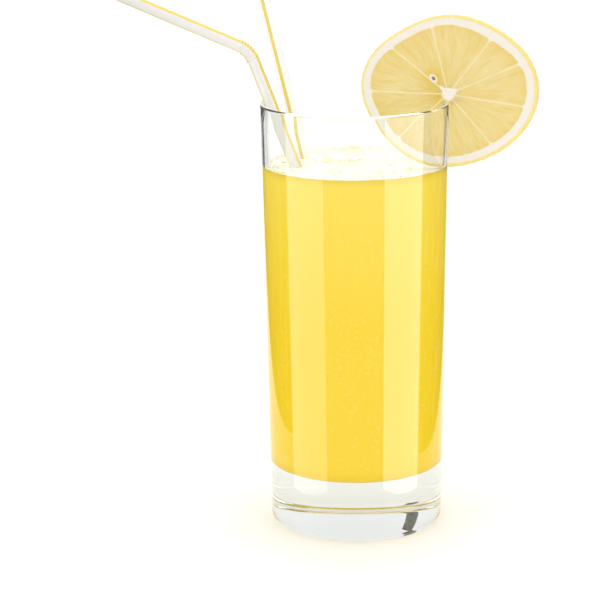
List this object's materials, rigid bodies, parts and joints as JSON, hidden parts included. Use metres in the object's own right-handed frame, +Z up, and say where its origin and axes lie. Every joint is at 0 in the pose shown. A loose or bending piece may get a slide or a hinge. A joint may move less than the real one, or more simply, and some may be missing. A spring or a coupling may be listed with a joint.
{
  "type": "glass of lemonade",
  "caption": "Tall tumbler with a thick clear base, filled with cloudy lemonade, with bendy striped straws and a slice of lemon on its rim.",
  "frame": {"origin": "middle of the glass's foot, on the surface it stands on", "axes": "+Z up along the glass's axis, +X towards the lemon slice on the rim, -X the way the straws lean"},
  "size_m": [0.1616, 0.0667, 0.2153],
  "materials": {
    "clear_glass": "clear pressed soda-lime glass, fire-polished rim, thick base",
    "lemonade": "cloudy yellow lemonade, opaque in the glass, with a wet surface",
    "straw_plastic": "thin white polypropylene tube with lengthwise yellow stripes",
    "lemon": "fresh lemon: pale moist flesh, white pith and a thin waxy yellow rind"
  },
  "bodies": {
    "root": {"glass": "clear_glass", "lemonade": "lemonade", "left_straw": "straw_plastic", "back_straw": "straw_plastic", "lemon_slice": "lemon"}
  },
  "joints": []
}
